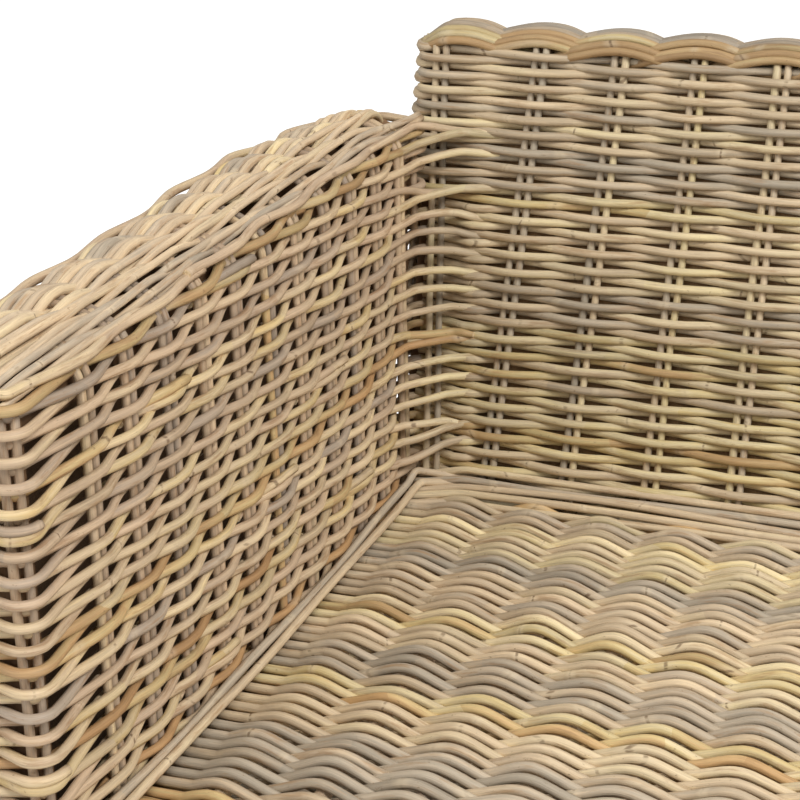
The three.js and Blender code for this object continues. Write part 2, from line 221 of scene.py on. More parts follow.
def front_skin(z):
    """y of the middle surface of its front panel"""
    return back_face(z) + LEVEL_HALF


def rear_skin(z):
    """y of the middle surface of the rear panel, and of the base below it"""
    return max(YR, back_face(z) + BACK_DEPTH - LEVEL_HALF)


def add(name, data):
    """Puts a mesh, a lamp or a camera into the scene"""
    piece = bpy.data.objects.new(name, data)
    bpy.context.scene.collection.objects.link(piece)
    return piece


def stand_for(name, mesh, slot, nodes):
    """Puts a mesh into the scene that stands for CAD nodes"""
    piece = add(name, mesh)
    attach(piece, "root")
    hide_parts(*nodes)


def unit(v):
    return v / np.linalg.norm(v, axis=-1, keepdims=True)


def lengths(path):
    """Distance along a path at each of its points"""
    return np.r_[0, np.cumsum(np.linalg.norm(np.diff(path, axis=0), axis=1))]


def ease(t):
    t = np.clip(t, 0, 1)
    return t * t * (3 - 2 * t)


def wander(run, wavelength):
    """A random wave along a rod, about 1 high"""
    at = run / wavelength + rng.random()
    knots = rng.normal(0, 1, int(at[-1]) + 3)
    whole = at.astype(int)
    part = ease(at - whole)
    return knots[whole] * (1 - part) + knots[whole + 1] * part


def waves(run, *parts):
    """The sum of such waves, given by height and length"""
    return sum(height * wander(run, wavelength) for height, wavelength in parts)


SWELL = rng.normal(0, 1, (60, 60))


def swell(plan, z):
    """A random wave, about 1 high, that rows near one another share"""
    along = (plan[:, 0] + plan[:, 1]) / SWELL_LENGTH + len(SWELL) / 2
    up = z / SWELL_HEIGHT
    row, column = int(up), along.astype(int)
    a = ease(up - row)
    b = ease(along - column)
    low = SWELL[row, column] * (1 - b) + SWELL[row, column + 1] * b
    high = SWELL[row + 1, column] * (1 - b) + SWELL[row + 1, column + 1] * b
    return low * (1 - a) + high * a


def rounded(points, spread=CORNER):
    """Points at every step along a polyline, its corners rounded over the given length"""
    points = np.array(points, float)
    keep = np.r_[True, np.linalg.norm(np.diff(points, axis=0), axis=1) > STEP / 4]
    points = points[keep]
    run = lengths(points)
    at = np.linspace(0, run[-1], max(int(run[-1] / STEP), 4) + 1)
    even = np.column_stack([np.interp(at, run, axis) for axis in points.T])
    half = max(1, min(int(spread / 2 / STEP), len(even) // 2 - 1))
    before = 2 * even[0] - even[half:0:-1]
    after = 2 * even[-1] - even[-2:-half - 2:-1]
    padded = np.vstack([before, even, after])
    kernel = np.ones(2 * half + 1) / (2 * half + 1)
    return np.column_stack([np.convolve(axis, kernel, "valid") for axis in padded.T])


def over_under(run, stops, signs, grip=GRIP):
    """1 in front of a stake and -1 behind it, with an even swing between"""
    knots = np.maximum.accumulate(np.ravel([[s - grip, s + grip] for s in stops]))
    level = np.interp(run, knots, np.repeat(signs, 2))
    return level * (1 + ROUNDNESS * (1 - level ** 2))


def thinned(path):
    """Fewer points along a path, close together only where it bends"""
    run = lengths(path)
    heading = unit(np.gradient(path, axis=0))
    turn = np.r_[0, np.linalg.norm(np.diff(heading, axis=0), axis=1)]
    need = np.cumsum(np.r_[0, np.diff(run)] / LONGEST + turn / SHARPEST)
    count = max(int(need[-1]) + 1, 2)
    picked = np.searchsorted(need, np.linspace(0, need[-1], count + 1))
    return path[np.unique(np.minimum(picked, len(path) - 1))]


class Bundle:
    """The rods of one piece, gathered until its mesh is made"""

    def __init__(self):
        self.points, self.grain, self.tone, self.light = [], [], [], []
        self.quads, self.caps, self.strips = [], [], []
        self.count = 0

    def rod(self, path, radius, level, shade, sides=7, taper=0):
        """Adds a rod along a path; level is a direction that the rod never follows. Its end tapers
        over the given length."""
        path = thinned(np.asarray(path))
        run = lengths(path)
        heading = unit(np.gradient(path, axis=0))
        side = unit(np.cross(heading, level))
        up = np.cross(side, heading)
        girth = radius * (1 + 0.03 * np.clip(wander(run, 70), -1.5, 1.5))
        if taper:
            girth = girth * (1 - 0.4 * ease(1 - (run[-1] - run) / taper))
        girth = girth[:, None, None]
        turn = 2 * np.pi * np.arange(sides) / sides
        cos, sin = np.cos(turn)[None, :, None], np.sin(turn)[None, :, None]
        ring = side[:, None] * cos + up[:, None] * sin
        self.points.append((path[:, None] + girth * ring).reshape(-1, 3))
        along = np.broadcast_to((run + rng.uniform(0, 90000))[:, None, None], (len(run), sides, 1))
        self.grain.append(np.concatenate([along, girth * cos, girth * sin], 2).reshape(-1, 3))
        tone, light = shade
        self.tone.append(np.full(len(run) * sides, tone))
        self.light.append(np.full(len(run) * sides, light))
        first = self.count + sides * np.arange(len(run) - 1)[:, None] + np.arange(sides)
        after = self.count + sides * np.arange(len(run) - 1)[:, None] + (np.arange(sides) + 1) % sides
        self.quads.append(np.stack([first, first + sides, after + sides, after], -1).reshape(-1, 4))
        last = self.count + sides * (len(run) - 1)
        self.caps += [list(range(self.count, self.count + sides)), list(range(last, last + sides))[::-1]]
        self.strips.append((run, sides, 2 * np.pi * radius))
        self.count += len(run) * sides

    def bake_map(self):
        """Places of the quads' corners in a square, the rods laid out as strips in rows"""
        gap = 1.5
        total = sum(run[-1] for run, _, _ in self.strips)
        tall = max(girth for _, _, girth in self.strips) + gap
        width = math.sqrt(total * tall) + LONGEST + tall
        start, parts = 0.0, []
        for run, sides, girth in self.strips:
            first = start + run[:-1]
            row = np.floor(first / (width - LONGEST - STEP))
            left = first - row * (width - LONGEST - STEP)
            right = left + np.diff(run)
            low = row[:, None] * tall + girth * np.arange(sides) / sides
            high = low + girth / sides
            left, right = (np.broadcast_to(e[:, None], low.shape) for e in (left, right))
            corners = [np.stack(c, -1) for c in ((left, low), (right, low), (right, high), (left, high))]
            parts.append(np.stack(corners, 2).reshape(-1, 2))
            start += run[-1]
        return np.concatenate(parts) / (width + tall)

    def mesh(self, name):
        quads = np.concatenate(self.quads)
        caps = [len(c) for c in self.caps]
        corners = np.concatenate([quads.ravel(), np.concatenate(self.caps)])
        starts = np.concatenate([4 * np.arange(len(quads)), 4 * len(quads) + np.cumsum([0] + caps[:-1])])
        mesh = bpy.data.meshes.new(name)
        mesh.vertices.add(self.count)
        mesh.vertices.foreach_set("co", (np.concatenate(self.points) * MM).ravel())
        mesh.loops.add(len(corners))
        mesh.loops.foreach_set("vertex_index", corners.astype(np.int32))
        mesh.polygons.add(len(starts))
        mesh.polygons.foreach_set("loop_start", starts.astype(np.int32))
        mesh.update(calc_edges=True)
        is_cap = np.arange(len(starts)) >= len(quads)
        mesh.polygons.foreach_set("use_smooth", ~is_cap)
        mesh.polygons.foreach_set("material_index", is_cap.astype(np.int32))
        for key, kind, values in (
            ("tone", "FLOAT", np.concatenate(self.tone)),
            ("light", "FLOAT", np.concatenate(self.light)),
            ("grain", "FLOAT_VECTOR", (np.concatenate(self.grain) * MM).ravel()),
        ):
            data = mesh.attributes.new(key, kind, "POINT").data
            data.foreach_set("vector" if kind == "FLOAT_VECTOR" else "value", values.astype(np.float32))
        cap_corners = []
        for size in caps:
            turn = 2 * np.pi * np.arange(size) / size
            cap_corners.append(0.996 + 0.003 * np.column_stack([np.cos(turn), np.sin(turn)]))
        layer = mesh.uv_layers.new(name="OFBake")
        places = np.concatenate([self.bake_map()] + cap_corners)
        layer.data.foreach_set("uv", places.astype(np.float32).ravel())
        mesh.validate()
        return mesh


# Materials

def srgb(red, green, blue):
    """Linear colour of an 8-bit screen colour"""
    def linear(v):
        v /= 255
        return v / 12.92 if v <= 0.04045 else ((v + 0.055) / 1.055) ** 2.4
    return (linear(red), linear(green), linear(blue), 1)


MIX_FACTOR, MIX_A, MIX_B, MIX_RESULT = 0, 6, 7, 2  # sockets of a mix of colours


class Graph:
    """Short calls for the nodes of a material or a world"""

    def __init__(self, owner):
        owner.use_nodes = True
        self.owner = owner
        self.tree = owner.node_tree
        self.tree.nodes.clear()

    def node(self, kind, inputs=None, **settings):
        made = self.tree.nodes.new("ShaderNode" + kind)
        for key, value in settings.items():
            setattr(made, key, value)
        for key, value in (inputs or {}).items():
            self.put(made.inputs[key], value)
        return made

    def put(self, socket, value):
        if isinstance(value, bpy.types.NodeSocket):
            self.tree.links.new(value, socket)
        else:
            socket.default_value = value

    def attribute(self, name, output="Fac"):
        return self.node("Attribute", attribute_name=name).outputs[output]

    def place(self):
        return self.node("TexCoord").outputs["Object"]

    def math(self, operation, *values):
        made = self.node("Math", operation=operation)
        for socket, value in zip(made.inputs, values):
            self.put(socket, value)
        return made.outputs[0]

    def add(self, first, *more):
        for value in more:
            first = self.math("ADD", first, value)
        return first

    def times(self, a, b):
        return self.math("MULTIPLY", a, b)

    def centred(self, value, weight):
        """How far a value is from 0.5, times a weight"""
        return self.times(self.math("SUBTRACT", value, 0.5), weight)

    def noise(self, vector, scale, detail=2.0, roughness=0.5):
        """Noise with its own scale along each axis, about 0.5 on average"""
        placed = self.node("Mapping", {"Vector": vector, "Scale": scale})
        made = self.node("TexNoise", {"Vector": placed.outputs[0], "Scale": 1.0, "Detail": detail,
                                      "Roughness": roughness})
        return made.outputs["Fac"]

    def between(self, value, low, high, out_low=0.0, out_high=1.0):
        inputs = {"Value": value, "From Min": low, "From Max": high, "To Min": out_low, "To Max": out_high}
        return self.node("MapRange", inputs, interpolation_type="SMOOTHSTEP").outputs["Result"]

    def mix(self, factor, a, b, blend="MIX"):
        inputs = {MIX_FACTOR: factor, MIX_A: a, MIX_B: b}
        return self.node("Mix", inputs, data_type="RGBA", blend_type=blend).outputs[MIX_RESULT]

    def ramp(self, value, stops):
        made = self.node("ValToRGB", {"Fac": value})
        elements = made.color_ramp.elements
        while len(elements) < len(stops):
            elements.new(0.5)
        for element, (place, colour) in zip(elements, stops):
            element.position = place
            element.color = colour
        return made.outputs["Color"]

    def finish(self, shader):
        self.node("OutputMaterial", {"Surface": shader.outputs[0]})
        return self.owner

    def surface(self, colour, rough, height, strength, distance, specular=0.5):
        """The finished material, with a bump"""
        bump = self.node("Bump", {"Height": height, "Strength": strength, "Distance": distance})
        return self.finish(self.node("BsdfPrincipled", {
            "Base Color": colour, "Roughness": rough, "Normal": bump.outputs[0],
            "Specular IOR Level": specular}))


def material(name):
    return Graph(bpy.data.materials.new(name))


PALETTE = [
    (0.00, (170, 159, 140)), (0.14, (182, 168, 146)), (0.28, (193, 174, 145)),
    (0.42, (203, 183, 151)), (0.56, (212, 195, 159)), (0.68, (218, 202, 158)),
    (0.78, (208, 188, 135)), (0.88, (198, 168, 120)), (1.00, (184, 150, 104)),
]
# What each part of the weave is multiplied by: its own tone, and also painted shade on the arms'
# panels and the back and painted light on the arms' tops
ARM_TINT_AND_SHADE = (0.83, 0.757, 0.747)
TOP_TINT_AND_LIGHT = (1.06, 1.01, 0.98)
BACK_TINT_AND_SHADE = (0.84, 0.82, 0.80)
SEAT_TINT = (1.0, 0.97, 0.95)
EDGE_TINT = (0.72, 0.71, 0.73)
TINT_IN, TINT_OUT = 30, 8  # the inner tint (the back's painted shade) fades out from before an arm's inner face to behind it
INTERNODE = 0.19  # mean distance between the nodes of a cane, in metres
RING = 0.0021  # half the width of a node's ring


def cane(name, tint, inner_tint=None):
    """Round rattan: each rod has a tone, fibres, blemishes and the rings of its nodes. Its tint holds tone,
    with painted light on the arms' tops and painted shade on the arms' panels and the back. Between the
    arms it can have a tint of its own."""
    def tinted(*screen):
        return tuple(a * b for a, b in zip(srgb(*screen), (*tint, 1)))

    g = material(name)
    grain, tone, light = g.attribute("grain", "Vector"), g.attribute("tone"), g.attribute("light")
    along = g.node("SeparateXYZ", {"Vector": grain}).outputs["X"]
    drift = g.noise(grain, (3.1, 3.0, 3.0), 1.0)
    warp = g.noise(grain, (40.0, 300.0, 300.0), 1.0)
    nodes = g.add(g.math("DIVIDE", along, INTERNODE), g.times(drift, 2.6), g.times(warp, 0.012))
    section = g.node("TexWhiteNoise", {"W": g.math("FLOOR", nodes)}, noise_dimensions="1D").outputs["Value"]
    off = g.times(g.math("ABSOLUTE", g.math("SUBTRACT", g.math("FRACT", nodes), 0.5)), INTERNODE)
    ring = g.between(off, RING * 0.3, RING, 1.0, 0.0)
    collar = g.between(off, RING, RING * 5, 1.0, 0.0)
    patchy = g.between(g.noise(grain, (60.0, 420.0, 420.0), 2.0), 0.42, 0.6, 0.12, 1.0)
    ring_dark = g.times(g.times(ring, patchy), g.between(section, 0.1, 0.9, 0.1, 0.7))
    slow = g.noise(grain, (9.0, 60.0, 60.0), 3.0, 0.6)
    streak = g.noise(grain, (16.0, 430.0, 430.0), 3.0, 0.6)
    fibre = g.noise(grain, (45.0, 1250.0, 1250.0), 3.0, 0.65)
    fine = g.noise(grain, (170.0, 3200.0, 3200.0), 2.0, 0.6)
    place = g.add(tone, g.centred(slow, 0.6), g.add(g.centred(streak, 0.3), g.centred(section, 0.2)))
    colour = g.ramp(place, [(at, tinted(*screen)) for at, screen in PALETTE])
    value = g.add(g.times(light, 0.4), 0.8, g.centred(fibre, 0.65), g.centred(fine, 0.25))
    value = g.add(value, g.centred(streak, 0.5))
    grey = g.node("CombineColor", {"Red": value, "Green": value, "Blue": value}).outputs[0]
    colour = g.mix(1.0, colour, grey, "MULTIPLY")
    spot = g.noise(grain, (210.0, 360.0, 360.0), 3.0, 0.7)
    colour = g.mix(g.between(spot, 0.64, 0.74, 0.0, 0.6), colour, tinted(118, 90, 62))
    stain = g.noise(grain, (22.0, 190.0, 190.0), 4.0, 0.65)
    colour = g.mix(g.between(stain, 0.53, 0.7, 0.0, 0.6), colour, tinted(160, 126, 88))
    colour = g.mix(g.times(collar, 0.3), colour, tinted(222, 206, 174))
    colour = g.mix(ring_dark, colour, tinted(100, 74, 50))
    if inner_tint:
        across = g.math("ABSOLUTE", g.node("SeparateXYZ", {"Vector": g.place()}).outputs["X"])
        inside = g.between(across, (X_INNER - TINT_IN) * MM, (X_INNER + TINT_OUT) * MM, 1.0, 0.0)
        ratio = tuple(a / b for a, b in zip(inner_tint, tint))
        colour = g.mix(inside, colour, g.mix(1.0, colour, (*ratio, 1), "MULTIPLY"))
    height = g.add(g.times(fibre, 0.6), g.times(fine, 0.4), g.times(collar, 1.1), g.times(ring_dark, -0.5))
    return g.surface(colour, g.between(fibre, 0.3, 0.7, 0.46, 0.64), height, 0.9, 0.0004, 0.4)


def cut_end():
    """The pale pith of a cut rod, with its pores"""
    g = material("cane_cut")
    pores = g.noise(g.attribute("grain", "Vector"), (1500.0, 1500.0, 1500.0), 2.0)
    colour = g.ramp(pores, [(0.35, srgb(168, 136, 94)), (0.6, srgb(222, 202, 164))])
    return g.surface(colour, 0.8, pores, 0.5, 0.0003)


def painted_shade_finish(name, dark, pale):
    """Coarse fabric look for the sheets of painted shade behind the woven panels"""
    g = material(name)
    place = g.place()
    threads = g.noise(place, (900.0, 900.0, 900.0), 2.0)
    worn = g.noise(place, (12.0, 12.0, 12.0), 3.0)
    blend = g.add(g.times(threads, 0.6), g.times(worn, 0.4))
    return g.surface(g.ramp(blend, [(0.35, dark), (0.65, pale)]), 0.9, threads, 0.5, 0.0004)


def timber(name, axis, pale, dark, rough):
    """Planed timber with its grain along one axis"""
    g = material(name)
    place = g.place()
    coarse, fine = [38.0, 38.0, 38.0], [520.0, 520.0, 520.0]
    coarse[axis], fine[axis] = 2.4, 14.0
    rings = g.noise(place, coarse, 5.0, 0.6)
    pores = g.noise(place, fine, 3.0, 0.6)
    blend = g.add(g.times(rings, 0.8), g.times(pores, 0.2))
    shade = g.between(rings, 0.3, 0.7, rough - 0.08, rough + 0.08)
    return g.surface(g.ramp(blend, [(0.34, dark), (0.64, pale)]), shade, pores, 0.4, 0.0005)


def plastic():
    """Moulded plastic with a fine spark finish"""
    g = material("glide_plastic")
    spark = g.noise(g.place(), (2400.0, 2400.0, 2400.0), 2.0)
    colour = g.ramp(spark, [(0.3, srgb(34, 33, 32)), (0.7, srgb(50, 48, 46))])
    return g.surface(colour, 0.55, spark, 0.3, 0.0002)


# Weaving

SHADES = rng.normal(0, 1, 4000)
# Where the rods of each part find their tones
SIDE_TONES, FRONT_TONES, REAR_TONES, SEAT_TONES = 3000, 6000, 9000, 15000


def shade(level, pitch=24.0, mean=0.46, band=0.17, own=0.15):
    """Tone and lightness of a rod: band is how much rods near one another share, own is its own"""
    at = level / pitch + len(SHADES) / 8
    whole = int(at)
    near = SHADES[whole] * (1 - (at - whole)) + SHADES[whole + 1] * (at - whole)
    tone = np.clip(mean + band * near + own * rng.normal(), 0.02, 1)
    return tone, np.clip(0.5 + 0.22 * rng.normal(), 0, 1)


def row_height(j):
    """Height of a row of the arms and the base"""
    return Z_BASE + ROW_START + ROW_PITCH * j + ROW_GROWTH * max(0, j - EVEN_ROWS) ** 2


def back_height(j):
    """Height of a row of the back"""
    even = min(j, ROWS_EVEN_BACK)
    return Z_RIBS + BACK_START + BACK_ROW_PITCH * even + TIGHT_PITCH * (j - even)


def sign(j, index):
    """1 if a row passes this stake in front"""
    return 1 if (j + index) % 2 == 0 else -1


def bow(y, z):
    """How far an arm's inner face bulges at a point of it"""
    t = np.clip((y - YF) / (ARM_STAKES[-1] - YF), 0, 1)
    fade = np.clip(1 - (z - Z_DECK) / (Z_SIDE - Z_DECK), 0, 1)
    return BOW * np.sin(np.pi * t) ** 0.7 * (0.3 + 0.7 * fade)


def lean(x, z):
    """How far a stake of the back stands beside its place at a level"""
    return -math.copysign(1, x) * LEAN.get(abs(x), 0) * (z - LEAN_LEVEL) / LEAN_HEIGHT


def lay(bundle, row, level):
    """Adds the rods of a row that isn't in the photo, with tones from a level"""
    for line in row.rods():
        bundle.rod(line, ROD, UP, shade(level), 6)


class Row:
    """One level of weave along a plan path; outward is 1 if the outer side is on its left. A closed
    row starts and ends behind one stake. A row whose ends lie behind passes its first and last
    stakes at the back."""

    def __init__(self, points, z, stakes, j, spread=CORNER, closed=False, ends_behind=False, rough=1.0,
                 reach=SWING, outward=-1):
        self.reach = reach
        self.plan = rounded(points, spread)
        self.run = lengths(self.plan)
        far = [np.argmin(np.linalg.norm(self.plan - np.array(at), axis=1)) for at, _ in stakes]
        order = np.argsort(far, kind="stable")
        self.stops = [self.run[far[i]] for i in order]
        self.signs = [sign(j, stakes[i][1]) for i in order]
        if closed:
            self.stops = [0.0] + self.stops + [self.run[-1]]
            self.signs = [-1] + self.signs + [-1]
        if ends_behind:
            self.hide_ends()
        swing = reach * over_under(self.run, self.stops, self.signs)
        self.swing = swing * (1 + 0.05 * rough * wander(self.run, 90)) + 0.2 * rough * wander(self.run, 50)
        heading = unit(np.gradient(self.plan, axis=0))
        self.normal = outward * np.column_stack([-heading[:, 1], heading[:, 0]])
        own = waves(self.run, (0.3, 130), (0.22, 55))
        self.height = z + rough * (0.9 * swell(self.plan, z) + own)

    def hide_ends(self):
        """Takes both ends behind their stakes. Before a stake that it also passes behind, the rod rises."""
        self.signs[0] = self.signs[-1] = -1
        for at, near, far in ((1, 0, 1), (len(self.stops), -2, -1)):
            if self.signs[near] == self.signs[far] == -1:
                self.stops.insert(at, (self.stops[near] + self.stops[far]) / 2)
                self.signs.insert(at, RISE)

    def rods(self, shortest=420, longest=1500):
        """Lengths of rod along the row. Joints are behind a stake, or the old end shows past the next."""
        last = self.run[-1]
        stops = self.stops
        hidden = [i for i, g in enumerate(self.signs) if g < 0 and NEAR_END < stops[i] < last - NEAR_END]
        cuts = []
        while True:
            target = (cuts[-1][0] if cuts else 0) + rng.uniform(shortest, longest)
            later = [i for i in hidden if stops[i] > target]
            if not later or last - stops[later[0]] < shortest / 2:
                break
            i = later[0]
            shown = rng.random() < SHOWN and self.signs[i + 1] > 0.9 and stops[i + 1] < last - NEAR_END
            cuts.append((stops[i], stops[i + 1] if shown else None))
        for old, new in zip([None] + cuts, cuts + [None]):
            yield self.rod(old, new)

    def rod(self, old, new):
        """One rod, from the joint before it to the joint after it"""
        start = old[0] - OVERLAP - abs(rng.normal(0, OVERLAP_MORE)) if old else 0
        end = self.run[-1]
        if new and new[1] is None:
            end = new[0] + OVERLAP + abs(rng.normal(0, OVERLAP_MORE))
        elif new:
            end = new[1] + rng.uniform(*SHOWN_TIP)
        inside = (self.run >= start) & (self.run <= end)
        run, swing, height = self.run[inside], self.swing[inside].copy(), self.height[inside].copy()
        if old and old[1] is None:
            height += APART * ease(1 - (run - start) / APART_RUN)
        elif old:
            height -= LIFT * ease(1 - (run - old[1]) / SETTLE_RUN)
        if new and new[1] is None:
            height -= APART * ease(1 - (end - run) / APART_RUN)
        elif new:
            past = run > new[1]
            swing[past] = np.maximum(swing[past], self.reach + TIP_SLOPE * (run[past] - new[1]))
            height += LIFT * ease((run - new[1] + LIFT_LEAD) / LIFT_RUN)
        return np.column_stack([self.plan[inside] + self.normal[inside] * swing[:, None], height])


def mirrored(line, s):
    """A line of the left arm, on the left (-1) or the right (1)"""
    return line if s < 0 else line * np.array([-1, 1, 1])


UP = np.array([0.0, 0.0, 1.0])
ALONG = np.array([0.0, 1.0, 0.0])
ACROSS = np.array([1.0, 0.0, 0.0])

# Places of the stakes round the left arm, with their count from the first one on the inner face
OUTER_RING = [((-XO, y), -4 - k) for k, y in enumerate(ARM_STAKES)]
ARM_FRONT = [((X_OUT, Y_AHEAD), -3), ((-XM, YF), -2), ((X_IN, Y_AHEAD), -1)]
LAST = len(ARM_STAKES) - 1


def outer_joint(j):
    """The stake of the outer face that hides the joint of row j"""
    return LAST - 1 if sign(j, LAST - 1) < 0 else LAST - 2


def flip(stakes):
    """The same stakes on the other arm"""
    return [((-x, y), index) for (x, y), index in stakes]


def inner_face(z):
    """Plan of an arm's inner face, from the front to its last stake"""
    ys = np.linspace(YF, ARM_STAKES[-1], 13)
    return [(-XI + bow(y, z), y) for y in ys]


def drop(z):
    """How far a rod at this level sinks on its way to the back"""
    return float(np.interp(z, DROP_LEVELS, DROP))


def joined_rows():
    """Rows of an arm that end in a row of the back, each with that row"""
    picked = {}
    for j in range(ROWS_UNDER_DECK, ROWS_ARM):
        level = row_height(j) - SINK_SEEN * drop(row_height(j))
        free = [i for i in range(2, ROWS_BACK) if sign(i, LAST + 1) < 0 and i not in picked.values()]
        i = min(free, key=lambda i: abs(back_height(i) - level))
        if sign(j, LAST) > 0 and rng.random() < JOINED:
            picked[j] = i
    return picked


JOINS = {-1: joined_rows(), 1: joined_rows()}


def reach(j):
    """Swing of a row of the arms; the uppermost lies flatter"""
    return SWING if j < ROWS_ARM - 1 else LAST_SWING


def corner_row(z, j, start, joint, stakes, s):
    """A row round an arm whose last rod cuts the corner to the back"""
    skin = front_skin(z)
    leave = skin - LEVEL_HALF - np.interp(z, LEAVE_LEVELS, LEAVE) + rng.normal(0, 3)
    leave = min(leave, YR - LEAVE_END + rng.normal(0, 2))
    points = [start, (-XO, YF)] + inner_face(z)
    points = [p for p in points if p[1] < leave - STEP or p[0] < -XM]
    points += [(-XI, leave)] + [(-X_INNER + far, skin - near) for far, near in MEET]
    stakes = stakes[:-1] + [((-XI, leave), LAST), ((-X_INNER + MEET[0][0], skin - MEET[0][1]), LAST)]
    sink = drop(z) * rng.uniform(0.6, 1.4)
    if j in JOINS[s]:
        pair_at = (BACK_STAKES[1] + lean(BACK_STAKES[1], z), skin)
        points[-1] = (-X_INNER + MEET[1][0] - EARLY, skin - MEET[1][1])
        points.append((pair_at[0] + PASSED, skin))
        stakes.append((pair_at, LAST + 1))
        sink = z - back_height(JOINS[s][j]) - BESIDE
    else:
        far, near = MEET[1]
        points[-1] = (-X_INNER + far + rng.uniform(*TIPS), skin - near - rng.uniform(*TIPS_CLEAR))
    row = Row(points, z, stakes + [(start, joint)], j, CUT_CORNER, rough=ROUGH, reach=reach(j))
    row.height -= sink * ease(1 - (row.run[-1] - row.run - SINK_END) / SINK_RUN)
    return row


def arm_rows(s, outer, inner):
    """Rows round an arm: outer face, front and inner face, then to the back or round the rear corner"""
    for j in range(ROWS_UNDER_DECK, ROWS_ARM):
        z = row_height(j)
        joint = outer_joint(j)
        start = (-XO, ARM_STAKES[joint])
        stakes = OUTER_RING[:joint] + ARM_FRONT
        stakes = stakes + [((-XI + bow(y, z), y), k) for k, y in enumerate(ARM_STAKES)]
        points = [start, (-XO, YF)] + inner_face(z)
        end = [((X_IN, Y_BEHIND), LAST + 1), ((-XM, YR), LAST + 2), ((X_OUT, Y_BEHIND), LAST + 3)]
        end += [((-XO, ARM_STAKES[k]), k) for k in range(joint + 1, LAST + 1)]
        over = sign(j, LAST) > 0 and z > Z_LOW
        rows = []
        if over:
            rows.append(corner_row(z, j, start, joint, stakes, s))
        elif z < Z_CLEAR:
            skin = front_skin(z)
            points += [(-XI, skin), (-X_INNER + BEHIND_BACK, skin)]
            stakes = stakes + [((BACK_STAKES[0], skin), LAST + (sign(j, LAST) > 0)), (start, joint)]
            rows.append(Row(points, z, stakes, j, rough=ROUGH))
        else:
            points += [(-XI, YR), (-XO, YR), start]
            rows.append(Row(points, z, stakes + end, j, closed=True, rough=ROUGH))
        if over and z >= Z_CLEAR:
            points = [(-XI - 3, ARM_STAKES[LAST] + 8), (-XI, YR), (-XO, YR), start]
            rows.append(Row(points, z, end + [(start, joint)], j, rough=ROUGH))
        tone_level = z + SIDE_TONES * (s > 0)
        for row in rows:
            row.height -= shoulder(row.plan) * max(0, 1 - (ROWS_ARM - 1 - j) / SHOULDER_ROWS)
            lines = list(row.rods())
            for line in lines:
                middle = line[len(line) // 2]
                bundle = outer if middle[0] < -XM - HALF else inner
                tone = shade(tone_level, 26.0, 0.5, 0.14, 0.2)
                tip = ARM_TIP if over and line is lines[-1] and row is rows[0] else 0
                radius = ARM_ROD * rng.uniform(0.93, 1.06)
                bundle.rod(mirrored(line, s), radius, UP, tone, 8 if bundle is inner else 6, tip)


def front_rows(bundle):
    """Rows under the deck, right across the front and round on to both outer faces"""
    apron = [((x, YF), m) for m, x in enumerate(FRONT_STAKES)]
    for j in range(ROWS_UNDER_DECK):
        joint = outer_joint(j)
        y = ARM_STAKES[joint]
        left = OUTER_RING[:joint + 1] + ARM_FRONT
        stakes = left + apron + flip([(at, len(apron) - 1 - index) for at, index in left])
        row = Row([(-XO, y), (-XO, YF), (XO, YF), (XO, y)], row_height(j), stakes, j)
        lay(bundle, row, row_height(j) + FRONT_TONES)


def rear_rows(base, back):
    """Rows across the rear, up to where the back's face clears the arms"""
    for j in range(ROWS_ARM):
        z = row_height(j)
        if z >= Z_CLEAR:
            break
        joint = outer_joint(j)
        y = ARM_STAKES[joint]
        skin = rear_skin(z)
        left = [((-XO, ARM_STAKES[k]), k) for k in range(joint, LAST + 1)]
        left += [((X_OUT, Y_BEHIND), LAST + 1), ((-XM, YR), LAST + 2)]
        if z > Z_END_STAKE:
            left.append(((-XE, back_face(z) + BACK_DEPTH / 2), LAST + 3))
        rear = [((x, skin), LAST + 4 + k) for k, x in enumerate(BACK_STAKES)]
        right = flip([(at, -index) for at, index in left])
        points = [(-XO, y), (-XO, YR), (-XE, YR), (-XE, skin), (XE, skin), (XE, YR), (XO, YR), (XO, y)]
        lay(base if z < Z_RIBS else back, Row(points, z, left + rear + right, j, outward=1), z + REAR_TONES)


def face_stakes(z):
    """Places of the stakes in the back's face at a level"""
    return [((x + lean(x, z), front_skin(z)), LAST + k) for k, x in enumerate(BACK_STAKES)]


def back_rod(bundle, line, z, sides):
    """A rod of the back, with its own thickness and tone"""
    radius = BACK_ROD * rng.uniform(0.96, 1.05)
    bundle.rod(line, radius, UP, shade(z, 30.0, 0.44, 0.16, 0.17), sides)


def back_front_rows(bundle):
    """Rows on the face of the back, between the arms"""
    for j in range(ROWS_BACK):
        z = back_height(j)
        if z >= Z_CLEAR:
            break
        skin = front_skin(z)
        row = Row([(2 - XI, skin), (XI - 2, skin)], z, face_stakes(z), j, ends_behind=True,
                  reach=BACK_SWING)
        for line in row.rods():
            back_rod(bundle, line, z, 8)


def back_ring_rows(front, rear):
    """Rows right round the back, above the arms"""
    for j in range(ROWS_BACK):
        z = back_height(j)
        if z < Z_CLEAR:
            continue
        face, behind, middle = front_skin(z), rear_skin(z), back_face(z) + BACK_DEPTH / 2
        ring = 2 * len(BACK_STAKES) + LAST
        first = 0 if sign(j, ring) < 0 else 1
        start = (BACK_STAKES[first], behind)
        stakes = [((-XE, middle), LAST - 1)] + face_stakes(z)
        stakes += [((XE, middle), LAST + len(BACK_STAKES))]
        stakes += [((x, behind), ring - k) for k, x in enumerate(BACK_STAKES) if k != first]
        points = [start, (-XE, behind), (-XE, face), (XE, face), (XE, behind), start]
        row = Row(points, z, stakes, j, BACK_CORNER, closed=True, reach=BACK_SWING)
        for line in row.rods():
            seen = line[len(line) // 2, 1] < middle
            back_rod(front if seen else rear, line, z, 8 if seen else 6)


def shoulder(points):
    """How much the top of an arm drops towards its outer rear corner"""
    rear = ease((points[:, 1] - SHOULDER_Y) / SHOULDER_LENGTH)
    return SHOULDER * rear * ease((SHOULDER_X - XM - points[:, 0]) / SHOULDER_WIDTH)


